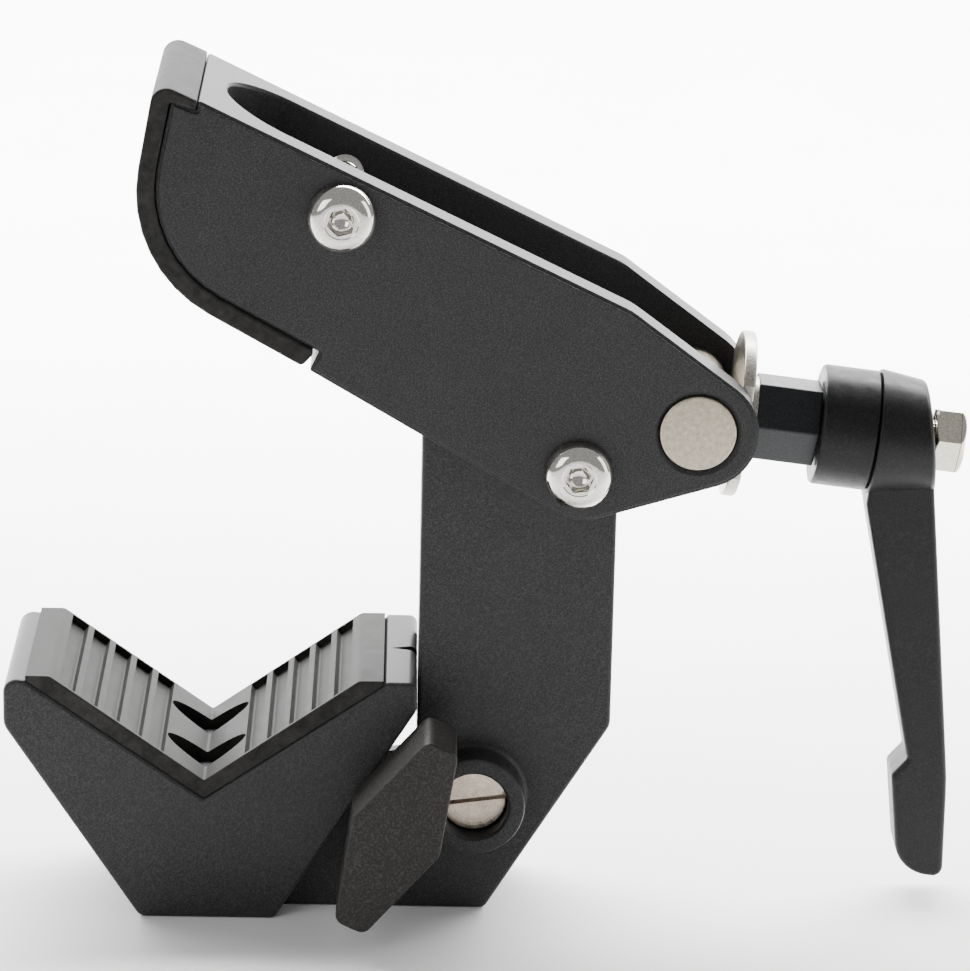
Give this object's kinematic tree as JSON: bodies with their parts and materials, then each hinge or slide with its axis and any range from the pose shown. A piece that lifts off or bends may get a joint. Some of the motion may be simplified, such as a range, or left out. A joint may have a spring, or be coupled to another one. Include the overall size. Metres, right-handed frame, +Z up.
{
  "type": "super clamp",
  "caption": "Studio super clamp with a padded V jaw, a hinged upper jaw arm, a lever-driven tension rod and a wing-locked stud socket.",
  "frame": {"origin": "centre of the mouth of the stud socket, in the flat underside of the base", "axes": "+X along the clamp from the jaws towards the lever, +Y across it away from the wing knob, +Z up; the socket's mouth faces -Z"},
  "size_m": [0.1522, 0.0519, 0.1341],
  "materials": {
    "powder_coat": "die-cast aluminium, fine-textured charcoal powder coat",
    "pad_rubber": "moulded dark grey rubber",
    "stainless": "polished stainless steel",
    "nickel_plate": "turned steel, dull nickel plate",
    "black_oxide": "satin black oxide steel",
    "lever_coat": "die-cast zinc, satin black powder coat",
    "wing_nylon": "moulded glass-filled nylon, matt black",
    "brass_tip": "turned brass",
    "spring_steel": "bright spring steel"
  },
  "bodies": {
    "base": {"body_casting": "powder_coat", "lower_jaw_pad": "pad_rubber", "lower_pad_screws": "black_oxide", "anchor_pin": "stainless", "slotted_plug": "nickel_plate", "catch_spring": "spring_steel"},
    "jaw_arm": {"upper_jaw_arm": "powder_coat", "upper_jaw_pad": "pad_rubber", "arm_screw_front": "stainless", "arm_screw_rear": "stainless", "hinge_barrel": "nickel_plate", "hinge_screw_front": "stainless", "hinge_screw_rear": "stainless"},
    "barrel": {"barrel_pin": "nickel_plate", "thrust_plate": "nickel_plate"},
    "rod": {"tension_rod": "stainless", "rod_end_nut": "stainless"},
    "thrust": {"thrust_washer": "nickel_plate"},
    "sleeve": {"hex_sleeve_nut": "black_oxide", "lever_collar": "lever_coat", "lever_clip": "spring_steel", "lever_spring": "spring_steel"},
    "lever_ring": {"lever_washer": "spring_steel"},
    "lever": {"lever_handle": "lever_coat"},
    "shoe": {"clamp_shoe": "brass_tip"},
    "wing": {"wing_knob": "wing_nylon", "wing_screw": "nickel_plate"},
    "catch": {"catch_pin": "nickel_plate"}
  },
  "joints": [
    {"name": "lever_turn", "type": "hinge", "parent": "thrust", "child": "sleeve", "pos_m": [0.0453, 0, 0.08111], "axis": [-0.9932, 0, 0.1167], "range_deg": [0, 2881]},
    {"name": "arm_hinge", "type": "hinge", "parent": "base", "child": "jaw_arm", "pos_m": [0.0272, 0, 0.0752], "axis": [0, -1, 0], "range_deg": [0, 54.1]},
    {"name": "rod_swing", "type": "hinge", "parent": "base", "child": "rod", "pos_m": [0.01759, 0, 0.08436], "axis": [0, -1, 0], "range_deg": [0, 36]},
    {"name": "barrel_swivel", "type": "hinge", "parent": "jaw_arm", "child": "barrel", "pos_m": [0.0454, 0, 0.082], "axis": [0, 1, 0], "range_deg": [0, 18.4]},
    {"name": "nut_travel", "type": "slide", "parent": "rod", "child": "thrust", "axis": [-0.9932, 0, 0.1167], "range_m": [0, 0.01]},
    {"name": "lever_lift", "type": "slide", "parent": "sleeve", "child": "lever_ring", "axis": [0.9932, 0, -0.1167], "range_m": [0, 0.0013], "stiffness_N_per_m": 1500, "springref_m": -0.002, "deforming": ["lever_spring"]},
    {"name": "lever_index", "type": "hinge", "parent": "lever_ring", "child": "lever", "pos_m": [0.0453, 0, 0.08111], "axis": [0.9932, 0, -0.1167], "continuous": true},
    {"name": "wing_turn", "type": "hinge", "parent": "shoe", "child": "wing", "pos_m": [0, 0, 0.0196], "axis": [0, 1, 0], "range_deg": [-541, 301]},
    {"name": "shoe_travel", "type": "slide", "parent": "base", "child": "shoe", "axis": [0, 1, 0], "range_m": [-0.00187, 0.00104]},
    {"name": "catch_slide", "type": "slide", "parent": "base", "child": "catch", "axis": [0, -1, 0], "range_m": [0, 0.0032], "stiffness_N_per_m": 400, "springref_m": -0.003, "deforming": ["catch_spring"]}
  ],
  "couplings": [
    {"joint": "lever_turn", "follows": "nut_travel", "rad_per_m": 5026.5},
    {"joint": "arm_hinge", "follows": "nut_travel", "rad_per_m": 94.248},
    {"joint": "rod_swing", "follows": "nut_travel", "rad_per_m": 62.439},
    {"joint": "barrel_swivel", "follows": "nut_travel", "rad_per_m": 31.809},
    {"joint": "wing_turn", "follows": "shoe_travel", "rad_per_m": 5026.5}
  ]
}
